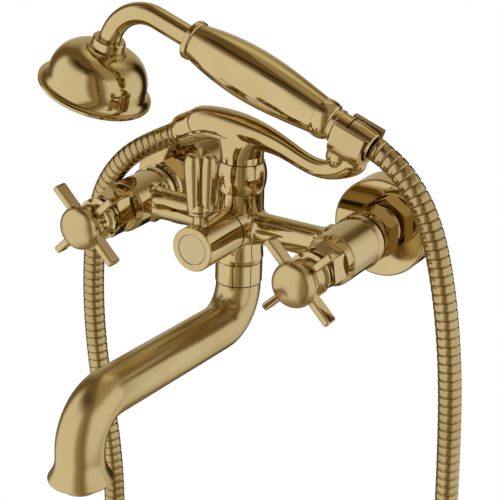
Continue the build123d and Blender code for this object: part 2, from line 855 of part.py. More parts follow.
groove_floor = spout_spigot_radius - o_ring_section + fit_gap
spout_grooves = [-spout_spigot_top - first for first in spigot_groove_steps]
spout_start = nut_bottom - seam_gap
mouth_top = -spout_end + bell_mouth_height
with BuildPart() as spout:
    with BuildLine(centre) as spout_path:
        FilletPolyline(
            (0, spout_start),
            (0, -spout_drop),
            (spout_reach, -spout_drop + spout_rise),
            (spout_reach, mouth_top),
            radius=[spout_root_bend, spout_end_bend],
        )
    with BuildSketch(Plane(origin=(0, bar_y, spout_start))):
        Circle(spout_tube_radius)
    sweep(path=spout_path.wire())
    end_axis = Plane(origin=(0, bar_y - spout_reach, 0), x_dir=(0, 0, 1), z_dir=(1, 0, 0))
    with BuildSketch(end_axis):
        with BuildLine():
            flare = Spline(
                (mouth_top, spout_tube_radius),
                (-spout_end + bell_lip, bell_mouth_radius),
                tangents=[(-1, 0), (-1, 0.6)],
            )
            lip = ThreePointArc(
                flare @ 1,
                (-spout_end + 0.4 * bell_lip, bell_mouth_radius - 0.1 * bell_lip),
                (-spout_end, bell_mouth_radius - 0.8 * bell_lip),
            )
            Polyline(lip @ 1, (-spout_end, 0), (mouth_top, 0), flare @ 0)
        make_face()
    revolve(axis=own_axis(end_axis))
    add(tube(column, spout_start, -spout_spigot_top, spout_spigot_radius))
    flange_top = flange_floor + spout_flange_thickness
    add(tube(column, flange_floor + turn_gap, flange_top, spout_flange_radius))
    with BuildSketch(Plane(origin=(0, bar_y, spout_start))):
        Circle(spout_bore_radius)
    sweep(path=spout_path.wire(), mode=Mode.SUBTRACT)
    add(
        tube(column, spout_start, -spout_spigot_top, spout_bore_radius),
        mode=Mode.SUBTRACT,
    )
    add(tube(end_axis, -spout_end, mouth_top, spout_bore_radius), mode=Mode.SUBTRACT)
    thread_top = -spout_end + aerator_thread_length
    gasket_top = thread_top + fit_gap + aerator_gasket_thickness
    add(
        tube(end_axis, -spout_end, gasket_top + fit_gap, aerator_thread_radius + fit_gap),
        mode=Mode.SUBTRACT,
    )
    for groove in spout_grooves:
        add(
            tube(column, groove - o_ring_section, groove, column_bore_radius, groove_floor),
            mode=Mode.SUBTRACT,
        )
save(spout.part, "spout")

with BuildPart() as spout_o_rings:
    for groove in spout_grooves:
        add(o_ring(column, groove - o_ring_section / 2, groove_floor))
save(spout_o_rings.part, "spout_o_rings")

aerator_bottom = -spout_end - aerator_drop
insert_floor = aerator_bottom + soft_edge
with BuildPart() as aerator_housing:
    add(
        turned(
            end_axis,
            [
                (aerator_bottom, 0),
                (aerator_bottom, aerator_radius - soft_edge),
                (aerator_bottom + soft_edge, aerator_radius),
                (-spout_end - fit_gap, aerator_radius),
                (-spout_end - fit_gap, aerator_thread_radius),
                (thread_top, aerator_thread_radius),
                (thread_top, 0),
            ],
        )
    )
    add(
        tube(end_axis, insert_floor, thread_top, aerator_thread_radius - aerator_wall),
        mode=Mode.SUBTRACT,
    )
    add(
        tube(end_axis, aerator_bottom, thread_top, aerator_thread_radius - 2 * aerator_wall),
        mode=Mode.SUBTRACT,
    )
save(aerator_housing.part, "aerator_housing")

with BuildPart() as aerator_insert:
    insert_radius = aerator_thread_radius - aerator_wall - fit_gap
    insert_bottom = insert_floor + fit_gap
    add(tube(end_axis, insert_bottom, insert_bottom + insert_length, insert_radius))
    with BuildSketch(Plane(origin=(0, bar_y - spout_reach, insert_bottom))):
        with HexLocations(insert_cell_radius + insert_web, insert_cells, insert_cells):
            RegularPolygon(radius=insert_cell_radius, side_count=6)
    extrude(amount=insert_length, mode=Mode.SUBTRACT)
save(aerator_insert.part, "aerator_insert")

with BuildPart() as aerator_gasket:
    add(tube(end_axis, thread_top + fit_gap, gasket_top, aerator_thread_radius, insert_radius - edge_break))
save(aerator_gasket.part, "aerator_gasket")

# Riser ring between the body and the cradle
with BuildPart() as riser_ring:
    ring_bottom = column_top + fit_gap
    with BuildSketch(column):
        with BuildLine():
            belly = ThreePointArc(
                (ring_bottom, riser_ring_radius),
                ((ring_bottom + riser_ring_top) / 2, riser_ring_belly),
                (riser_ring_top, riser_ring_radius),
            )
            Polyline(belly @ 1, (riser_ring_top, 0), (ring_bottom, 0), belly @ 0)
        make_face()
    revolve(axis=own_axis(column))
    stub_top = column_top + column_stub_length
    add(tube(column, ring_bottom, stub_top + fit_gap, column_stub_radius + fit_gap), mode=Mode.SUBTRACT)
    add(tube(column, ring_bottom, riser_ring_top, cradle_spigot_radius + turn_gap), mode=Mode.SUBTRACT)
save(riser_ring.part, "riser_ring")

# Cradle casting: neck, outlet, arm and saddle
seat = Plane(
    origin=(seat_x, bar_y, seat_z),
    x_dir=(-cos(radians(handset_tilt)), 0, sin(radians(handset_tilt))),
    z_dir=(0, 1, 0),
)
outlet = Plane(
    origin=(outlet_x, bar_y, outlet_z),
    x_dir=(-cos(radians(outlet_slope)), 0, -sin(radians(outlet_slope))),
    z_dir=(0, 1, 0),
)
arm_route = [
    (outlet_x, outlet_z, outlet_radius, outlet_slope),
    (-20.0, 60.6, 10.5, 8.0),
    (-6.0, 60.0, 10.8, -8.0),
    (9.0, 58.6, 9.4, -13.0),
    (24.0, 56.0, 6.9, -24.0),
    (40.0, 50.3, arm_waist_radius, -20.0),
    (55.0, 46.8, 5.6, -3.0),
    (68.0, 50.0, 6.6, 19.0),
    (80.0, 58.0, 6.0, 38.0),
]
cradle_grooves = [cradle_spigot_bottom + first - o_ring_section for first in spigot_groove_steps]
with BuildPart() as cradle:
    for x, z, radius, slope in arm_route:
        along = (cos(radians(slope)), 0, sin(radians(slope)))
        with BuildSketch(Plane(origin=(x, bar_y, z), x_dir=(0, 1, 0), z_dir=along)):
            Circle(radius)
    loft()
    neck_bottom = riser_ring_top + seam_gap
    web_bottom = neck_bottom + cradle_neck_straight
    for share in (0.0, 0.4, 1.0):
        spread = share**1.5
        height = web_bottom + share * (cradle_web_top - web_bottom)
        half_length = cradle_neck_radius + spread * (cradle_web_half_length - cradle_neck_radius)
        half_width = cradle_neck_radius + spread * (cradle_web_half_width - cradle_neck_radius)
        with BuildSketch(Plane(origin=(0, bar_y, height))):
            if share == 0.0:
                Circle(cradle_neck_radius)
            else:
                Ellipse(half_length, half_width)
    loft()
    add(tube(column, neck_bottom, web_bottom, cradle_neck_radius))
    saddle_side = end_face(seat, saddle_back)
    with BuildSketch(saddle_side):
        with Locations((-saddle_offset, 0)):
            Circle(saddle_radius)
        with Locations(((saddle_lip - saddle_offset) / 2, 0)):
            Rectangle(saddle_offset + saddle_lip, 2 * saddle_radius)
        with Locations((saddle_lip + saddle_radius, 0)):
            Rectangle(2 * saddle_radius, 2 * saddle_radius, mode=Mode.SUBTRACT)
    extrude(amount=saddle_front - saddle_back)
    with Locations((saddle_root_x, bar_y, saddle_root_z)):
        Sphere(saddle_root_radius)
    add(tube(column, cradle_spigot_bottom, neck_bottom, cradle_spigot_radius))
    for groove in cradle_grooves:
        add(
            tube(column, groove, groove + o_ring_section, column_bore_radius, groove_floor),
            mode=Mode.SUBTRACT,
        )
    add(tube(outlet, 0, outlet_thread_length, outlet_thread_radius))
    beyond = 2 * saddle_radius
    with BuildSketch(end_face(seat, saddle_back - beyond)):
        Circle(saddle_bore_radius)
        with Locations((saddle_radius, 0)):
            Rectangle(2 * saddle_radius, 2 * saddle_bore_radius)
    extrude(amount=saddle_front - saddle_back + 2 * beyond, mode=Mode.SUBTRACT)
    add(tube(column, cradle_spigot_bottom, passage_height, cradle_bore_radius), mode=Mode.SUBTRACT)
    passage = Plane(origin=(0, bar_y, passage_height), x_dir=(-1, 0, 0), z_dir=(0, 1, 0))
    add(tube(passage, 0, passage_length, outlet_bore_radius), mode=Mode.SUBTRACT)
    bore_start = (outlet_x + passage_length) / cos(radians(outlet_slope))
    add(
        tube(outlet, bore_start, outlet_thread_length, outlet_bore_radius),
        mode=Mode.SUBTRACT,
    )
save(cradle.part, "cradle")

with BuildPart() as cradle_o_rings:
    for groove in cradle_grooves:
        add(o_ring(column, groove + o_ring_section / 2, groove_floor))
save(cradle_o_rings.part, "cradle_o_rings")

# Hand shower: tail, inner pipe, grip, ferrule, neck, bell and spray plate
pipe_end = grip_end - neck_overlap
socket_end = grip_start + tail_socket_depth
with BuildPart() as handset_tail:
    with BuildSketch(seat):
        with BuildLine():
            thread = Polyline(
                (tail_thread_start, 0),
                (tail_thread_start, outlet_thread_radius),
                (tail_seam, outlet_thread_radius),
                (tail_seam, tail_radius),
                (collar_start - soft_edge, tail_radius),
            )
            cove = ThreePointArc(
                thread @ 1,
                (collar_start - edge_break / 2, tail_radius + edge_break),
                (collar_start, grip_end_radius - edge_break),
            )
            crown = ThreePointArc(
                cove @ 1,
                ((collar_start + grip_start) / 2, grip_end_radius + collar_crown),
                (grip_start - fit_gap, grip_end_radius),
            )
            Polyline(
                crown @ 1,
                (grip_start - fit_gap, grip_bore_radius - fit_gap),
                (socket_end, grip_bore_radius - fit_gap),
                (socket_end, 0),
                thread @ 0,
            )
        make_face()
    revolve(axis=own_axis(seat))
    add(
        tube(seat, tail_bead_at, tail_bead_at + tail_bead_width, tail_bead_radius, tail_radius - edge_break)
    )
    bead_edges = handset_tail.edges().filter_by(GeomType.CIRCLE)
    fillet(bead_edges.filter_by(lambda edge: abs(edge.radius - tail_bead_radius) < fit_gap), radius=bead_round)
    add(
        tube(seat, grip_start, socket_end, inner_pipe_radius + fit_gap / 2),
        mode=Mode.SUBTRACT,
    )
    add(
        tube(seat, tail_thread_start, grip_start, inner_pipe_radius - inner_pipe_wall),
        mode=Mode.SUBTRACT,
    )
save(handset_tail.part, "handset_tail")

with BuildPart() as handset_pipe:
    add(
        tube(
            seat,
            grip_start + fit_gap,
            grip_end - inner_pipe_gap,
            inner_pipe_radius,
            inner_pipe_radius - inner_pipe_wall,
        )
    )
    add(
        tube(seat, pipe_end, grip_end - inner_pipe_gap, neck_radius + fit_gap / 2),
        mode=Mode.SUBTRACT,
    )
save(handset_pipe.part, "handset_pipe")

with BuildPart() as handset_grip:
    with BuildSketch(seat):
        with BuildLine():
            barrel = Spline(
                (grip_start, grip_end_radius),
                (grip_belly_at, grip_belly_radius),
                (grip_end, grip_end_radius - 0.2),
                tangents=[(1, 0.13), (1, -0.24)],
            )
            Polyline(
                barrel @ 1,
                (grip_end, grip_bore_radius),
                (grip_start, grip_bore_radius),
                barrel @ 0,
            )
        make_face()
    revolve(axis=own_axis(seat))
save(handset_grip.part, "handset_grip")

with BuildPart() as handset_ferrule:
    add(
        tube(
            seat,
            grip_end + fit_gap,
            grip_end + ferrule_length,
            ferrule_radius,
            neck_radius + fit_gap / 2,
        )
    )
    round_edges = handset_ferrule.edges().filter_by(GeomType.CIRCLE)
    fillet(round_edges.sort_by(lambda edge: edge.radius)[-2:], radius=soft_edge)
save(handset_ferrule.part, "handset_ferrule")

with BuildPart() as handset_neck:
    neck_foot = -bell_rim_drop + bell_dome_height + neck_seat
    with BuildLine(seat) as neck_path:
        FilletPolyline(
            (pipe_end + fit_gap, 0),
            (bell_axis, 0),
            (bell_axis, neck_foot),
            radius=neck_bend,
        )
    with BuildSketch(end_face(seat, pipe_end + fit_gap)):
        Circle(neck_radius)
        Circle(neck_radius - neck_wall, mode=Mode.SUBTRACT)
    sweep(path=neck_path.wire())
save(handset_neck.part, "handset_neck")

rim_centre = seat.origin + seat.x_dir * bell_axis - seat.y_dir * bell_rim_drop
bell_plane = Plane(origin=rim_centre, x_dir=seat.y_dir, z_dir=(0, -1, 0))
bell_rim_radius = bell_shoulder_radius + bell_rim_flare
spray_plate_radius = bell_shoulder_radius + spray_plate_overhang
plate_top = spray_plate_recess + spray_plate_thickness
spray_gasket_top = plate_top + spray_gasket_thickness
with BuildPart() as handset_bell:
    with BuildSketch(bell_plane):
        with BuildLine():
            lip = Polyline((0, 0), (0, bell_rim_radius - edge_break), (edge_break, bell_rim_radius))
            edge = Line(lip @ 1, (bell_rim_thickness - edge_break, bell_rim_radius))
            flare = Spline(
                edge @ 1,
                (bell_shoulder_height, bell_shoulder_radius),
                tangents=[(0.1, -1), (1, 0)],
            )
            dome = Spline(
                flare @ 1,
                (0.62 * bell_dome_height, 0.935 * bell_shoulder_radius),
                (bell_dome_height, bell_collar_foot_radius),
                tangents=[(1, 0), (0.12, -1)],
            )
            collar = Polyline(
                dome @ 1,
                (bell_dome_height + bell_collar_step, bell_collar_foot_radius),
                (bell_dome_height + bell_collar_step + edge_break, bell_collar_radius),
                (bell_collar_top - edge_break, bell_collar_radius),
                (bell_collar_top, bell_collar_radius - edge_break),
                (bell_collar_top, 0),
            )
            Line(collar @ 1, lip @ 0)
        make_face()
    revolve(axis=own_axis(bell_plane))
    with BuildSketch(bell_plane):
        with BuildLine():
            inner_dome = Spline(
                (spray_gasket_top, bell_shoulder_radius - 1.2 * bell_wall),
                (0.56 * bell_dome_height, 0.92 * bell_shoulder_radius - bell_wall),
                (bell_dome_height - bell_wall, neck_radius - neck_wall),
                tangents=[(1, 0), (0.1, -1)],
            )
            Polyline(
                inner_dome @ 1,
                (bell_dome_height - bell_wall, 0),
                (spray_gasket_top, 0),
                inner_dome @ 0,
            )
        make_face()
    revolve(axis=own_axis(bell_plane), mode=Mode.SUBTRACT)
    add(tube(bell_plane, 0, spray_gasket_top, spray_plate_radius + fit_gap), mode=Mode.SUBTRACT)
    neck_floor = bell_dome_height + neck_seat
    add(
        tube(bell_plane, neck_floor - fit_gap, bell_collar_top, neck_radius + fit_gap / 2),
        mode=Mode.SUBTRACT,
    )
    add(
        tube(bell_plane, spray_gasket_top, neck_floor, neck_radius - neck_wall),
        mode=Mode.SUBTRACT,
    )
save(handset_bell.part, "handset_bell")

with BuildPart() as spray_plate:
    add(tube(bell_plane, spray_plate_recess, plate_top, spray_plate_radius))
    with BuildSketch(end_face(bell_plane, 0)):
        Circle(nozzle_radius)
        for ring in range(1, nozzle_rings + 1):
            with PolarLocations(ring * nozzle_ring_step, 6 * ring):
                Circle(nozzle_radius)
    extrude(amount=plate_top, mode=Mode.SUBTRACT)
save(spray_plate.part, "spray_plate")

with BuildPart() as spray_gasket:
    add(
        tube(
            bell_plane,
            plate_top + fit_gap / 2,
            spray_gasket_top - fit_gap / 2,
            spray_plate_radius,
            spray_plate_radius - spray_gasket_width,
        )
    )
save(spray_gasket.part, "spray_gasket")

# Hose nuts and washers
with BuildPart() as right_hose_nut:
    nut_rim = tail_seam - seam_gap
    add(
        turned(
            seat,
            [
                (hose_nut_end, 0),
                (hose_nut_end, hose_nut_end_radius - edge_break),
                (hose_nut_end + edge_break, hose_nut_end_radius),
                (tail_seam - hose_nut_shoulder, hose_nut_radius),
                (nut_rim - edge_break, hose_nut_radius),
                (nut_rim, hose_nut_radius - edge_break),
                (nut_rim, 0),
            ],
        )
    )
    nut_floor = tail_thread_start - hose_washer_thickness
    add(
        tube(seat, nut_floor, tail_seam, outlet_thread_radius + fit_gap),
        mode=Mode.SUBTRACT,
    )
    add(tube(seat, hose_nut_end, tail_seam, outlet_bore_radius), mode=Mode.SUBTRACT)
save(right_hose_nut.part, "right_hose_nut")

with BuildPart() as left_hose_nut:
    with BuildSketch(outlet):
        with BuildLine():
            skirt = Polyline(
                (seam_gap, 0),
                (seam_gap, outlet_radius - edge_break),
                (seam_gap + edge_break, outlet_radius),
            )
            shoulder = Spline(
                skirt @ 1,
                (0.5 * left_nut_length, outlet_radius - 0.1),
                (left_nut_length, left_nut_end_radius),
                tangents=[(1, 0), (0.5, -1)],
            )
            Polyline(shoulder @ 1, (left_nut_length, 0), skirt @ 0)
        make_face()
    revolve(axis=own_axis(outlet))
    thread_room = outlet_thread_length + hose_washer_thickness
    add(tube(outlet, 0, thread_room, outlet_thread_radius + fit_gap), mode=Mode.SUBTRACT)
    add(tube(outlet, 0, left_nut_length, outlet_bore_radius), mode=Mode.SUBTRACT)
save(left_hose_nut.part, "left_hose_nut")

with BuildPart() as left_washer:
    add(
        tube(
            outlet,
            outlet_thread_length + fit_gap / 2,
            thread_room - fit_gap / 2,
            outlet_thread_radius,
            outlet_bore_radius,
        )
    )
save(left_washer.part, "left_hose_washer")

with BuildPart() as right_washer:
    add(
        tube(
            seat,
            nut_floor + fit_gap / 2,
            tail_thread_start - fit_gap / 2,
            outlet_thread_radius,
            outlet_bore_radius,
        )
    )
save(right_washer.part, "right_hose_washer")

# Hose, a plain tube along straight runs joined by tangent arcs
left_exit = outlet.origin + outlet.x_dir * (left_nut_length + fit_gap)
right_exit = seat.origin + seat.x_dir * (hose_nut_end - hose_end_gap)
left_lead = outlet.origin + outlet.x_dir * hose_left_lead
corners = [Vector(x, bar_y + y, z) for x, y, z in hose_route]
route = [left_exit, left_lead, *corners, right_exit]
runs = [b - a for a, b in zip(route, route[1:])]
radii = []
for before, after in zip(runs, runs[1:]):
    turn = radians(before.get_angle(after))
    radii.append(0.45 * min(before.length, after.length) / tan(turn / 2))
with BuildPart() as shower_hose:
    with BuildLine() as hose_path:
        FilletPolyline(*route, radius=radii)
    with BuildSketch(Plane(origin=left_exit, z_dir=runs[0])):
        Circle(hose_radius)
    sweep(path=hose_path.wire())
save(shower_hose.part, "shower_hose")
print("hose runs", [round(run.length, 1) for run in runs])
print("hose radii", [round(radius, 1) for radius in radii])
long = hose_path.wire().length
section = pi * hose_radius**2
print("hose length", round(long, 1), "volume share", round(shower_hose.part.volume / section / long, 5))
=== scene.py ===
# %% [markdown]
# # A wall mounted bath mixer in polished brass
# This lesson dresses a finished model of a bath mixer. The model comes from a CAD
# program as a fixed frame of named pieces, and nothing here moves or reshapes them.
# Blender gives each piece its finish, makes the shower hose as a wound metal tube,
# and sets up a plain studio.

# %% Load the frame
import json
from math import cos, pi, radians, sin

import bpy
from mathutils import Matrix, Vector


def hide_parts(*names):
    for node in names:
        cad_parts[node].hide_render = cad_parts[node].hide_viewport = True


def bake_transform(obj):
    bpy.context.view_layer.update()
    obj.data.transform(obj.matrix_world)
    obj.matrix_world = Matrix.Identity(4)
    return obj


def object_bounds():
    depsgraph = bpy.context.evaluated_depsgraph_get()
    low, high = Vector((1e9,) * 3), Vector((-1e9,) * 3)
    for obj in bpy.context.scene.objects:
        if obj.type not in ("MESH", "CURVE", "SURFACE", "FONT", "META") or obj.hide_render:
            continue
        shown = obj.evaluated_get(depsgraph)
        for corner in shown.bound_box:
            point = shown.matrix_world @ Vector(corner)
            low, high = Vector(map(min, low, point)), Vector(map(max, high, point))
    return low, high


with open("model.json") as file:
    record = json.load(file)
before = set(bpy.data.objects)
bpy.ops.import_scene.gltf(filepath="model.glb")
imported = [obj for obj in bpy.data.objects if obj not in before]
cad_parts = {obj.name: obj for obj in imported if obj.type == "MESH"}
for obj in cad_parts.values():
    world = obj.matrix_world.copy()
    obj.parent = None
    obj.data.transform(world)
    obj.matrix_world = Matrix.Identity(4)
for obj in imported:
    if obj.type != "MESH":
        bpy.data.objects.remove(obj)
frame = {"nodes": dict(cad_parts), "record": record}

cad_box = [list(corner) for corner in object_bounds()]
print("box", cad_box)

# %% [markdown]
# ## The camera
# A product photograph is taken with a long lens from a little above and to one side.
# Its place was solved from the two valves, which are 150 mm apart, and the lens from
# how fast things shrink with distance. A camera in Blender looks along its own -Z,
# so its three axes go into a matrix as columns: right, up and back.

# %% Place the camera
EYE = Vector((0.45254, -0.81307, 0.34129))
RIGHT = Vector((0.8540, 0.5194, 0.0287)).normalized()
AHEAD = Vector((-0.4715, 0.7962, -0.3791)).normalized()
LENS = 109.47
SENSOR = 36.0

up = RIGHT.cross(AHEAD)
camera_data = bpy.data.cameras.new("camera")
camera_data.lens = LENS
camera_data.sensor_width = SENSOR
camera = bpy.data.objects.new("camera", camera_data)
bpy.context.collection.objects.link(camera)
turn = Matrix((RIGHT, up, -AHEAD)).transposed().to_4x4()
camera.matrix_world = Matrix.Translation(EYE) @ turn
bpy.context.scene.camera = camera
print("camera at", tuple(round(v, 3) for v in EYE), "lens", LENS)

# %% [markdown]
# ## Sums on sockets
# A material is a graph of nodes. Wiring each one by hand hides the idea behind it, so
# one small class wraps a socket. Python's operators on it add Math nodes, and one
# method makes any other node: its settings first, then its sockets. A Mix node has
# several sockets of the same name, so its colours are reached by their places.

# %% A wrapped socket
MIX_LOW = 6
MIX_HIGH = 7
MIX_COLOUR = 2


class Wire:
    """A socket of a node tree, written with as if it were a number."""

    def __init__(self, tree, socket=None):
        self.tree = tree
        self.socket = socket

    def node(self, kind, settings=None, sockets=None, out=0):
        """Adds a node, sets it up, feeds its sockets and gives one output."""
        made = self.tree.nodes.new(kind)
        for name, value in (settings or {}).items():
            setattr(made, name, value)
        for name, value in (sockets or {}).items():
            if isinstance(value, Wire):
                self.tree.links.new(value.socket, made.inputs[name])
            elif made.inputs[name].type == "RGBA" and len(value) == 3:
                made.inputs[name].default_value = (*value, 1.0)
            else:
                made.inputs[name].default_value = value
        return Wire(self.tree, made.outputs[out] if made.outputs else None)

    def maths(self, operation, first, second):
        """A Math node on two wires or numbers."""
        return self.node("ShaderNodeMath", {"operation": operation}, {0: first, 1: second})

    def __add__(self, other):
        return self.maths("ADD", self, other)

    def __radd__(self, other):
        return self.maths("ADD", other, self)

    def __sub__(self, other):
        return self.maths("SUBTRACT", self, other)

    def __rsub__(self, other):
        return self.maths("SUBTRACT", other, self)

    def __mul__(self, other):
        return self.maths("MULTIPLY", self, other)

    def __rmul__(self, other):
        return self.maths("MULTIPLY", other, self)

    def clipped(self):
        """This value, held between 0 and 1."""
        return self.node("ShaderNodeClamp", {}, {"Value": self})

    def tint(self, low, high):
        """A colour between low and high, by this value."""
        sockets = {"Factor": self, MIX_LOW: low, MIX_HIGH: high}
        return self.node("ShaderNodeMix", {"data_type": "RGBA"}, sockets, out=MIX_COLOUR)


print("operators", [name for name in vars(Wire) if name.endswith(("add__", "sub__", "mul__"))])

# %% [markdown]
# ## Every material starts and ends alike
# A new material in Blender comes with a stock shader. Each one here is built from
# nothing instead, so that its graph holds only what its finish needs. One helper
# empties the tree and gives a wire to build from, and another feeds the output.

# %% Start and finish a material
def new_material(name):
    """An empty material, and a wire to start from."""
    material = bpy.data.materials.new(name)
    material.use_nodes = True
    material.node_tree.nodes.clear()
    return material, Wire(material.node_tree)


def finish_material(wire, surface):
    """Feeds a surface to the material's output."""
    wire.node("ShaderNodeOutputMaterial", {}, {"Surface": surface})


print("helpers", new_material.__name__, finish_material.__name__)

# %% [markdown]
# ## The studio
# The mixer stands against plain white, as in a catalogue. White that comes from more
# light would wash the metal out. So the world and the floor look at the kind of ray:
# the camera sees them as plain white, and so does what mirrors them or lets light
# through. Other rays get an even, softer light.

# %% The world
WHITE = (1.0, 1.0, 1.0)
WORLD_LIGHT = 0.55
SIGHT_RAYS = ("Is Camera Ray", "Is Glossy Ray", "Is Transmission Ray")

scene = bpy.context.scene
scene.view_settings.view_transform = "Standard"


def sees_white(wire):
    """1 for rays from the camera, from a mirror-like surface or through glass."""
    seen, mirrored, through = (wire.node("ShaderNodeLightPath", out=ray) for ray in SIGHT_RAYS)
    return (seen + mirrored + through).clipped()


world = bpy.data.worlds.new("studio")
world.use_nodes = True
world.node_tree.nodes.clear()
air = Wire(world.node_tree)
strength = sees_white(air) * (1.0 - WORLD_LIGHT) + WORLD_LIGHT
glow = air.node("ShaderNodeBackground", {}, {"Color": WHITE, "Strength": strength})
air.node("ShaderNodeOutputWorld", {}, {"Surface": glow})
scene.world = world
print("world light", WORLD_LIGHT)

# %% [markdown]
# ## The floor
# A wall mounted mixer stands on nothing, but its hose hangs down to a lowest bend. A
# pale floor lies just below that bend, far under the valves. It is one flat square,
# matt for the light that it sends back and plain white for the camera.

# %% Lay the floor
FLOOR_GAP = 0.004
FLOOR_HALF = 9.0
FLOOR_COLOUR = (0.82, 0.82, 0.81)

floor_material, wire = new_material("pale_floor")
matt = wire.node("ShaderNodeBsdfDiffuse", {}, {"Color": FLOOR_COLOUR})
bright = wire.node("ShaderNodeEmission", {}, {"Color": WHITE, "Strength": 1.0})
floor_look = {0: sees_white(wire), 1: matt, 2: bright}
finish_material(wire, wire.node("ShaderNodeMixShader", {}, floor_look))

floor_z = cad_box[0][2] - FLOOR_GAP
corners = [(-1, -1), (1, -1), (1, 1), (-1, 1)]
floor_points = [(x * FLOOR_HALF, y * FLOOR_HALF, floor_z) for x, y in corners]
floor_mesh = bpy.data.meshes.new("floor")
floor_mesh.from_pydata(floor_points, [], [(0, 1, 2, 3)])
floor_mesh.materials.append(floor_material)
floor = bpy.data.objects.new("floor", floor_mesh)
bpy.context.collection.objects.link(floor)
print("floor at", round(floor_z, 4))

# %% [markdown]
# ## The tent
# Polished metal only shows its surroundings. In an all white room it looks flat, so a
# photographer hangs a tent of brown cloth round the piece and lets light through two
# big windows in it, one on each side. Wide dark strips give the metal dark stripes,
# and thin dark flags near the windows give it the fine lines along its edges. A lamp
# for each reflection would light the whole piece, and a picture of a room would have
# to be loaded. So the tent is a dome, coloured by a short list of panels.

# %% Cloths of the tent
CLOTH = (0.20, 0.14, 0.065)
WARM_CLOTH = (0.19, 0.125, 0.05)
TAN_CLOTH = (0.36, 0.29, 0.16)
OCHRE_CLOTH = (0.46, 0.38, 0.22)
PALE_CLOTH = (0.48, 0.40, 0.26)
SAND_CLOTH = (0.62, 0.56, 0.42)
STRAW_CLOTH = (0.78, 0.74, 0.56)
CREAM_CLOTH = (0.85, 0.78, 0.55)
DIM_WINDOW = (0.94, 0.94, 0.94)
DARK = (0.028, 0.020, 0.012)
print("bare cloth", CLOTH)

# %% [markdown]
# ## The panels
# A panel's place is an azimuth, counted from the front towards the right, and an
# elevation. Then come its half width, its half height and the softness of its rim, all
# in degrees, and last its colour and how strongly it covers what lies under it.

# %% Panels of the tent
PANELS = {
    "underside": (0.0, -76.0, 180.0, 16.0, 12.0, TAN_CLOTH, 1.0),
    "top_light": (145.0, 82.0, 60.0, 9.0, 7.0, PALE_CLOTH, 0.8),
    "right_roof": (108.0, 58.0, 46.0, 28.0, 16.0, PALE_CLOTH, 1.0),
    "back_roof": (-172.0, 58.0, 30.0, 14.0, 12.0, CREAM_CLOTH, 1.0),
    "low_left": (-38.0, -54.0, 60.0, 14.0, 14.0, PALE_CLOTH, 0.8),
    "low_right": (105.0, -44.0, 50.0, 14.0, 14.0, PALE_CLOTH, 0.8),
    "far_low": (150.0, -42.0, 24.0, 11.0, 9.0, STRAW_CLOTH, 1.0),
    "back_cloth": (-146.0, 8.0, 26.0, 34.0, 12.0, SAND_CLOTH, 0.9),
    "left_window": (-37.0, -2.0, 50.0, 50.0, 11.0, WHITE, 1.0),
    "right_window": (105.0, 0.0, 51.0, 36.0, 11.0, DIM_WINDOW, 1.0),
    "left_shade": (-108.0, 20.0, 12.0, 36.0, 12.0, WARM_CLOTH, 0.8),
    "front_shade": (32.0, 0.0, 12.0, 48.0, 12.0, OCHRE_CLOTH, 0.9),
    "front_strip": (37.0, 22.0, 3.0, 26.0, 7.0, WARM_CLOTH, 0.85),
    "front_line": (36.0, -22.0, 1.0, 16.0, 6.0, WARM_CLOTH, 0.85),
    "low_strip": (31.0, -48.0, 8.0, 12.0, 10.0, WARM_CLOTH, 0.95),
    "rear_strip": (173.0, 3.0, 10.0, 28.0, 5.0, DARK, 1.0),
    "roof_flag": (-16.0, 66.0, 54.0, 4.0, 5.0, DARK, 1.0),
    "roof_edge": (10.0, 53.0, 10.0, 4.0, 6.0, DARK, 0.8),
    "front_core": (38.0, 2.0, 1.0, 54.0, 3.0, DARK, 0.9),
    "far_strip": (-150.0, -31.0, 32.0, 17.0, 5.0, DARK, 1.0),
}
print("panels", len(PANELS))

# %% [markdown]
# ## The colour in a direction
# A panel fades out over its soft rim, which lies half inside and half outside its
# half sizes, so a strip that is narrower than its rim never covers fully. The panels
# are laid over each other in their order, so a strip that comes late lies on top of a
# window that came early.

# %% Mix the panels
def eased(value):
    """0 to 1 with soft ends."""
    value = min(max(value, 0.0), 1.0)
    return value * value * (3 - 2 * value)


def panel_cover(azimuth, elevation, centre, height, half_wide, half_high, soft):
    """How much of a direction a panel covers, from 0 to 1."""
    off = abs((azimuth - centre + 180) % 360 - 180)
    rise = abs(elevation - height)
    across = eased((half_wide + soft - off) / (2 * soft))
    return across * eased((half_high + soft - rise) / (2 * soft))


def tent_colour(azimuth, elevation):
    """The cloth's colour in a direction, panel laid over panel."""
    colour = Vector(CLOTH)
    for *place, paint, strength in PANELS.values():
        colour = colour.lerp(Vector(paint), panel_cover(azimuth, elevation, *place) * strength)
    return (*colour, 1.0)


print("cloth straight in front", [round(v, 3) for v in tent_colour(0.0, 0.0)])

# %% [markdown]
# ## Hanging the tent
# The dome is a grid of directions seen from the middle of the bar, pushed out to the
# tent's radius and cut flat just above the floor. Each point keeps its own colour, and
# the cloth glows in that colour. Only mirror rays see it, so it neither shows in a
# picture nor takes light away.

# %% Directions round the bar
AIM = Vector((0.0, -0.062, 0.0))


def outward(azimuth, elevation):
    """The direction of an azimuth, counted from -Y towards +X, and an elevation."""
    around, rise = radians(azimuth), radians(elevation)
    return Vector((sin(around) * cos(rise), -cos(around) * cos(rise), sin(rise)))


print("to the right is", tuple(round(v, 3) for v in outward(90.0, 0.0)))

# %% Points and faces of the dome
TENT_RADIUS = 1.9
TENT_STEP = 2

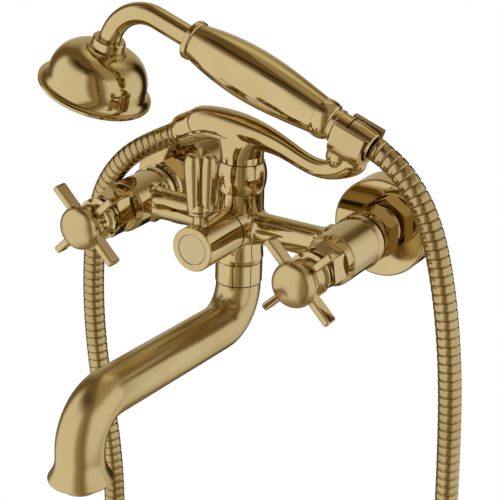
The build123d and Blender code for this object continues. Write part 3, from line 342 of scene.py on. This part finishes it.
columns = 360 // TENT_STEP
rows = 180 // TENT_STEP
points, colours, faces = [], [], []
for row in range(rows + 1):
    elevation = -90 + row * TENT_STEP
    for column in range(columns):
        azimuth = -180 + column * TENT_STEP
        towards = outward(azimuth, elevation)
        away = TENT_RADIUS
        if towards.z < 0:
            away = min(away, (floor_z + FLOOR_GAP / 2) / towards.z)
        points.append(AIM + towards * away)
        colours.append(tent_colour(azimuth, elevation))
        if row:
            following = (column + 1) % columns
            here, below = row * columns, (row - 1) * columns
            faces.append((here + column, here + following, below + following, below + column))
print("dome points", len(points))

# %% Hang the tent
tent_mesh = bpy.data.meshes.new("tent")
tent_mesh.from_pydata(points, [], faces)
shade = tent_mesh.color_attributes.new("cloth", "FLOAT_COLOR", "POINT")
for entry, colour in zip(shade.data, colours):
    entry.color = colour
tent_material, wire = new_material("tent_cloth")
cloth = wire.node("ShaderNodeAttribute", {"attribute_name": "cloth"}, out="Color")
finish_material(wire, wire.node("ShaderNodeEmission", {}, {"Color": cloth, "Strength": 1.0}))
tent_mesh.materials.append(tent_material)
tent = bpy.data.objects.new("tent", tent_mesh)
bpy.context.collection.objects.link(tent)
tent.visible_camera = False
tent.visible_diffuse = False
tent.visible_shadow = False
tent.visible_transmission = False
print("tent of", len(faces), "faces")

# %% [markdown]
# ## Soft lamps
# Two large, weak lamps give the rubber, ceramic and plastic pieces some shape. The
# metals have the tent for that, and a lamp would only add a glare to them, so no
# reflection shows a lamp. Each lamp is given by the direction that it shines from, as
# an azimuth and an elevation, and its power.

# %% Lamps
LAMPS = {"left_lamp": (-25.0, 45.0, 4.5), "right_lamp": (80.0, 35.0, 3.0)}
LAMP_SIZE = 1.2
LAMP_DISTANCE = 1.6
for name, (azimuth, elevation, power) in LAMPS.items():
    light = bpy.data.lights.new(name, "AREA")
    light.size = LAMP_SIZE
    light.energy = power
    lamp = bpy.data.objects.new(name, light)
    bpy.context.collection.objects.link(lamp)
    towards = outward(azimuth, elevation)
    lamp.location = AIM + towards * LAMP_DISTANCE
    lamp.rotation_euler = towards.to_track_quat("Z", "Y").to_euler()
    lamp.visible_glossy = False
print("lamps", len(LAMPS))

# %% [markdown]
# ## Polished bronze-gold plating
# The plating is a thin, hard, coloured metal on polished brass. Up close it isn't
# even: there is a faint cloudiness in its shine, and polishing leaves hair-fine marks.
# Where two surfaces meet, the colour is darkened with a painted shade.
# One colour and one roughness would look like plastic. So a broad noise moves the
# colour and the roughness a little, a fine one moves the roughness and tips the
# surface by a hair, and how much a point sees of its surroundings finds the corners.

# %% Noise on a piece
NOISE_MIDDLE = 0.5


def noise(wire, scale, detail, roughness):
    """A noise in the piece's own space, which varies about NOISE_MIDDLE."""
    place = wire.node("ShaderNodeTexCoord", out="Object")
    sockets = {"Vector": place, "Scale": scale, "Detail": detail, "Roughness": roughness}
    return wire.node("ShaderNodeTexNoise", {}, sockets)


print("noise varies about", NOISE_MIDDLE)

# %% A metal
CLOUD_SCALE = 22.0
CLOUD_START = 0.35
CLOUD_GAIN = 2.2
FINE_SHARE = 0.6
GRAIN_DEPTH = 0.0002
# The painted shade in corners: its dark colour, how far it reaches, its samples, and where and how
# fast it sets in.
PAINTED_SHADE = (0.09, 0.055, 0.02)
PAINTED_SHADE_REACH = 0.004
PAINTED_SHADE_SAMPLES = 8
PAINTED_SHADE_START = 0.15
PAINTED_SHADE_GAIN = 1.6


def metal(name, light, deep, rough, spread, grain, bump):
    """A metal with cloudy colour and shine, a fine grain and painted shade in its corners."""
    material, wire = new_material(name)
    cloud = noise(wire, CLOUD_SCALE, detail=3.0, roughness=0.55)
    fine = noise(wire, grain, detail=4.0, roughness=0.6)
    nearby = {"Distance": PAINTED_SHADE_REACH}
    # Ambient occlusion finds the corners, and the colour there is darkened with painted shade.
    open_sky = wire.node("ShaderNodeAmbientOcclusion", {"samples": PAINTED_SHADE_SAMPLES}, nearby, "AO")
    plating = ((cloud - CLOUD_START) * CLOUD_GAIN).clipped().tint(light, deep)
    colour = ((open_sky - PAINTED_SHADE_START) * PAINTED_SHADE_GAIN).clipped().tint(PAINTED_SHADE, plating)
    shine = (cloud - NOISE_MIDDLE) * spread + (fine - NOISE_MIDDLE) * (spread * FINE_SHARE) + rough
    grain_look = {"Strength": bump, "Distance": GRAIN_DEPTH, "Height": fine}
    skin = wire.node("ShaderNodeBump", {}, grain_look)
    look = {"Base Color": colour, "Metallic": 1.0, "Roughness": shine.clipped(), "Normal": skin}
    finish_material(wire, wire.node("ShaderNodeBsdfPrincipled", {}, look))
    return material


print("corners are dark within", PAINTED_SHADE_REACH, "m")

# %% [markdown]
# ## Two grades of polish
# Most of the plated pieces are polished to a mirror. The spout and the caps of the
# handles are only buffed, so their mirror is softer. The plating is the same on both,
# so only the roughness, its spread and the bump differ.

# %% Plating
GOLD = (0.61, 0.475, 0.238)
GOLD_WARM = (0.55, 0.41, 0.19)
polished = metal(
    "polished_plating",
    light=GOLD,
    deep=GOLD_WARM,
    rough=0.05,
    spread=0.03,
    grain=420.0,
    bump=0.006,
)
buffed = metal(
    "buffed_plating",
    light=GOLD,
    deep=GOLD_WARM,
    rough=0.24,
    spread=0.05,
    grain=420.0,
    bump=0.004,
)
print("plating", polished.name, buffed.name)

# %% [markdown]
# ## The other metals
# The knob's disc has a satin face. The hose is wound from a plated strip that is
# rolled, not polished, so it is a little duller. Inside, the brass is as the lathe
# left it, and the screws are plain steel.

# %% Satin plating and wound strip
satin = metal(
    "satin_plating",
    light=(0.62, 0.50, 0.29),
    deep=(0.56, 0.44, 0.24),
    rough=0.38,
    spread=0.08,
    grain=900.0,
    bump=0.10,
)
hose_metal = metal(
    "wound_strip",
    light=(0.53, 0.40, 0.19),
    deep=(0.42, 0.30, 0.13),
    rough=0.15,
    spread=0.06,
    grain=600.0,
    bump=0.04,
)
print("outside", satin.name, hose_metal.name)

# %% Bare brass and steel
bare_brass = metal(
    "machined_brass",
    light=(0.70, 0.52, 0.22),
    deep=(0.60, 0.43, 0.17),
    rough=0.27,
    spread=0.10,
    grain=700.0,
    bump=0.10,
)
screw_steel = metal(
    "screw_steel",
    light=(0.56, 0.56, 0.57),
    deep=(0.48, 0.48, 0.50),
    rough=0.30,
    spread=0.08,
    grain=700.0,
    bump=0.08,
)
print("inside", bare_brass.name, screw_steel.name)

# %% [markdown]
# ## Rubber, ceramic and plastic
# The washers and O-rings are black rubber, and the valve discs are lapped ceramic. The
# spray plate, the aerator's insert and the pipe inside the grip are moulded plastic.
# None of them is a metal, so one helper makes them all: a faint mottle in colour and
# shine, over a fine grain.

# %% A moulded finish
MOTTLE_SCALE = 60.0
MOTTLE_SHINE = 0.15


def moulded(name, light, deep, rough, grain, bump):
    """A non-metal with a faint mottle and a fine surface grain."""
    material, wire = new_material(name)
    mottle = noise(wire, MOTTLE_SCALE, detail=3.0, roughness=0.5)
    fine = noise(wire, grain, detail=3.0, roughness=0.5)
    grain_look = {"Strength": bump, "Distance": GRAIN_DEPTH, "Height": fine}
    skin = wire.node("ShaderNodeBump", {}, grain_look)
    shine = ((mottle - NOISE_MIDDLE) * MOTTLE_SHINE + rough).clipped()
    look = {"Base Color": mottle.tint(light, deep), "Roughness": shine, "Normal": skin}
    finish_material(wire, wire.node("ShaderNodeBsdfPrincipled", {}, look))
    return material


print("mottle scale", MOTTLE_SCALE)

# %% Rubber and ceramic
rubber = moulded(
    "black_rubber",
    light=(0.022, 0.022, 0.023),
    deep=(0.035, 0.034, 0.033),
    rough=0.55,
    grain=900.0,
    bump=0.25,
)
ceramic = moulded(
    "lapped_ceramic",
    light=(0.82, 0.80, 0.76),
    deep=(0.74, 0.72, 0.68),
    rough=0.16,
    grain=1200.0,
    bump=0.05,
)
print("seals and discs", rubber.name, ceramic.name)

# %% Plastics
white_plastic = moulded(
    "white_plastic",
    light=(0.78, 0.78, 0.76),
    deep=(0.70, 0.70, 0.68),
    rough=0.38,
    grain=900.0,
    bump=0.12,
)
dark_plastic = moulded(
    "dark_plastic",
    light=(0.045, 0.04, 0.036),
    deep=(0.06, 0.055, 0.05),
    rough=0.36,
    grain=800.0,
    bump=0.15,
)
print("plastics", white_plastic.name, dark_plastic.name)

# %% [markdown]
# ## Dressing the pieces
# The frame's record says which material slot each piece belongs to. That list does
# the work, so a piece that is added to the model later is dressed without a new line.
# Only the buffed pieces are named here, because they share a slot with the others.

# %% Dress the pieces
BUFFED = ("spout", "left_handle_cap", "right_handle_cap")
FINISHES = {
    "polished_brass": polished,
    "satin_brass": satin,
    "hose_brass": hose_metal,
    "plain_brass": bare_brass,
    "steel": screw_steel,
    "rubber": rubber,
    "ceramic": ceramic,
    "white_plastic": white_plastic,
    "dark_plastic": dark_plastic,
}
for entry in frame["record"]["subparts"]:
    piece = frame["nodes"][entry["node"]]
    finish = buffed if entry["node"] in BUFFED else FINISHES[entry["material_slot"]]
    for slot in piece.material_slots:
        slot.material = finish
    if not piece.material_slots:
        piece.data.materials.append(finish)

# %% [markdown]
# ## The shower hose
# A metal shower hose is a strip wound into a tube, so its outside is a row of rounded
# bands with a thin gap between them. It leaves the cradle's outlet on the left, hangs
# in one smooth curve and comes up to the hand shower's tail on the right. Its route
# is a list of points in metres, which the curve bends towards.

# %% The hose's route
HOSE_RADIUS = 0.007
HOSE_ROUTE = [
    (-0.0459, -0.0620, 0.0503),
    (-0.0604, -0.0620, 0.0428),
    (-0.0788, -0.0620, 0.0316),
    (-0.0916, -0.0615, 0.0198),
    (-0.1022, -0.0610, 0.0050),
    (-0.1094, -0.0605, -0.0140),
    (-0.1136, -0.0600, -0.0400),
    (-0.1153, -0.0600, -0.0750),
    (-0.1125, -0.0610, -0.1120),
    (-0.1063, -0.0620, -0.1500),
    (-0.0983, -0.0630, -0.1900),
    (-0.0946, -0.0645, -0.2350),
    (-0.0940, -0.0660, -0.2870),
    (-0.0920, -0.0675, -0.3400),
    (-0.0810, -0.0690, -0.3910),
    (-0.0580, -0.0700, -0.4360),
    (-0.0190, -0.0705, -0.4680),
    (0.0320, -0.0700, -0.4780),
    (0.0810, -0.0690, -0.4640),
    (0.1180, -0.0675, -0.4310),
    (0.1410, -0.0660, -0.3870),
    (0.1510, -0.0645, -0.3350),
    (0.1542, -0.0635, -0.2790),
    (0.1540, -0.0625, -0.2240),
    (0.1526, -0.0615, -0.1710),
    (0.1508, -0.0615, -0.1190),
    (0.1478, -0.0615, -0.0700),
    (0.1426, -0.0615, -0.0310),
    (0.1360, -0.0615, 0.0000),
    (0.1288, -0.0620, 0.0236),
    (0.1196, -0.0620, 0.0406),
    (0.1096, -0.0620, 0.0526),
    (0.0994, -0.0620, 0.0610),
    (0.0891, -0.0620, 0.0660),
]
print("route points", len(HOSE_ROUTE))

# %% [markdown]
# ## One smooth line
# A NURBS spline takes the route's points as its control points and passes smoothly
# near them, from the first to the last. Its order is set after its points are added,
# because set before, it falls back to straight runs. The curve itself is only a
# guide: its line is read as a row of close points, and then it is removed.

# %% The hose's line
LINE_STEPS = 24

line = bpy.data.curves.new("hose_line", "CURVE")
line.dimensions = "3D"
line.resolution_u = LINE_STEPS
spline = line.splines.new("NURBS")
spline.points.add(len(HOSE_ROUTE) - 1)
for point, place in zip(spline.points, HOSE_ROUTE):
    point.co = (*place, 1.0)
spline.order_u = 3
spline.use_endpoint_u = True
line_object = bpy.data.objects.new("hose_line", line)
bpy.context.collection.objects.link(line_object)
bpy.context.view_layer.update()
sampled = bpy.data.meshes.new_from_object(line_object)
hose_path = [vertex.co.copy() for vertex in sampled.vertices]
bpy.data.objects.remove(line_object)
bpy.data.meshes.remove(sampled)
print("hose line", len(hose_path), "points")

# %% [markdown]
# ## Walking along the line
# The bands come at even distances along the hose, and the line's points don't. So
# each point is marked with its distance from the start, and a search finds the two
# points on either side of any distance. The place and the direction there are mixed
# from theirs.

# %% Measure the line
reach = [0.0]
for before, after in zip(hose_path, hose_path[1:]):
    reach.append(reach[-1] + (after - before).length)
print("hose line", round(reach[-1], 4), "m")

# %% Walk along the line
def along_path(path, marks, at):
    """The point and the direction at a distance along a path."""
    low, high = 0, len(marks) - 1
    while high - low > 1:
        middle = (low + high) // 2
        if marks[middle] <= at:
            low = middle
        else:
            high = middle
    share = (at - marks[low]) / (marks[high] - marks[low])
    after = path[high] - path[low]
    before = path[low] - path[low - 1] if low else after
    return path[low].lerp(path[high], share), before.lerp(after, share).normalized()


halfway = along_path(hose_path, reach, reach[-1] / 2)[0]
print("halfway along the hose", tuple(round(v, 3) for v in halfway))

# %% [markdown]
# ## The bands and the end sleeves
# A bevelled curve can change its radius only from one route point to the next, and
# those lie further apart than the bands. A bump in the material would leave the
# tube's outline smooth. So the tube is a mesh whose radius rises and falls with each
# band. A list gives one band's shape, as shares of the distance to the next band and
# of the hose's radius. A short plain sleeve closes each end of the strip, inside its
# nut.

# %% Radii along the hose
BAND_PITCH = 0.0054
BAND_PROFILE = [
    (0.00, 0.86),
    (0.05, 0.93),
    (0.10, 0.985),
    (0.20, 1.0),
    (0.80, 1.0),
    (0.90, 0.985),
    (0.95, 0.93),
]
SLEEVE_LENGTH = 0.004
SLEEVE_RADIUS = 0.0072


def band_rings(total, radius, pitch):
    """The hose's rings, each as its distance from the start and its radius."""
    wound = total - 2 * SLEEVE_LENGTH
    bands = round(wound / pitch)
    rings = [(0.0, SLEEVE_RADIUS), (SLEEVE_LENGTH, SLEEVE_RADIUS)]
    for band in range(bands):
        for share, height in BAND_PROFILE:
            rings.append((SLEEVE_LENGTH + (band + share) * wound / bands, radius * height))
    rings.append((total - SLEEVE_LENGTH, radius * BAND_PROFILE[0][1]))
    return rings + [(total - SLEEVE_LENGTH, SLEEVE_RADIUS), (total, SLEEVE_RADIUS)]


hose_rings = band_rings(reach[-1], HOSE_RADIUS, BAND_PITCH)
print("rings along the hose", len(hose_rings))

# %% [markdown]
# ## The tube
# Each ring is a circle of points square to the line. Its first point is carried on
# from the ring before, only tipped with the line, so the tube doesn't twist. The two
# ends are closed with flat caps, and every other face is shaded smooth.

# %% A tube of rings
SIDES = 40


def tube_along(name, rings, path, marks):
    """A closed tube of rings along a path."""
    side = Vector((0.0, 1.0, 0.0))
    points, faces = [], []
    for row, (at, size) in enumerate(rings):
        centre, ahead = along_path(path, marks, at)
        side = (side - ahead * side.dot(ahead)).normalized()
        other = ahead.cross(side)
        here, last = row * SIDES, (row - 1) * SIDES
        for step in range(SIDES):
            angle = 2 * pi * step / SIDES
            points.append(centre + (side * cos(angle) + other * sin(angle)) * size)
            if row:
                following = (step + 1) % SIDES
                faces.append((last + step, last + following, here + following, here + step))
    faces.append(tuple(range(SIDES))[::-1])
    faces.append(tuple(range(len(points) - SIDES, len(points))))
    mesh = bpy.data.meshes.new(name)
    mesh.from_pydata(points, [], faces)
    mesh.update()
    mesh.polygons.foreach_set("use_smooth", [len(face) < SIDES for face in faces])
    made = bpy.data.objects.new(name, mesh)
    bpy.context.collection.objects.link(made)
    return made


hose = tube_along("wound_hose", hose_rings, hose_path, reach)
hose.data.materials.append(hose_metal)
print("hose faces", len(hose.data.polygons))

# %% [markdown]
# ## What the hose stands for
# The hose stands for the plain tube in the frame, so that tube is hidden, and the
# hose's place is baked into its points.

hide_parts("shower_hose")
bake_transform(hose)

# %% [markdown]
# ## Finish
# The last step only prints a closing line.

# %% Close
print("finished")
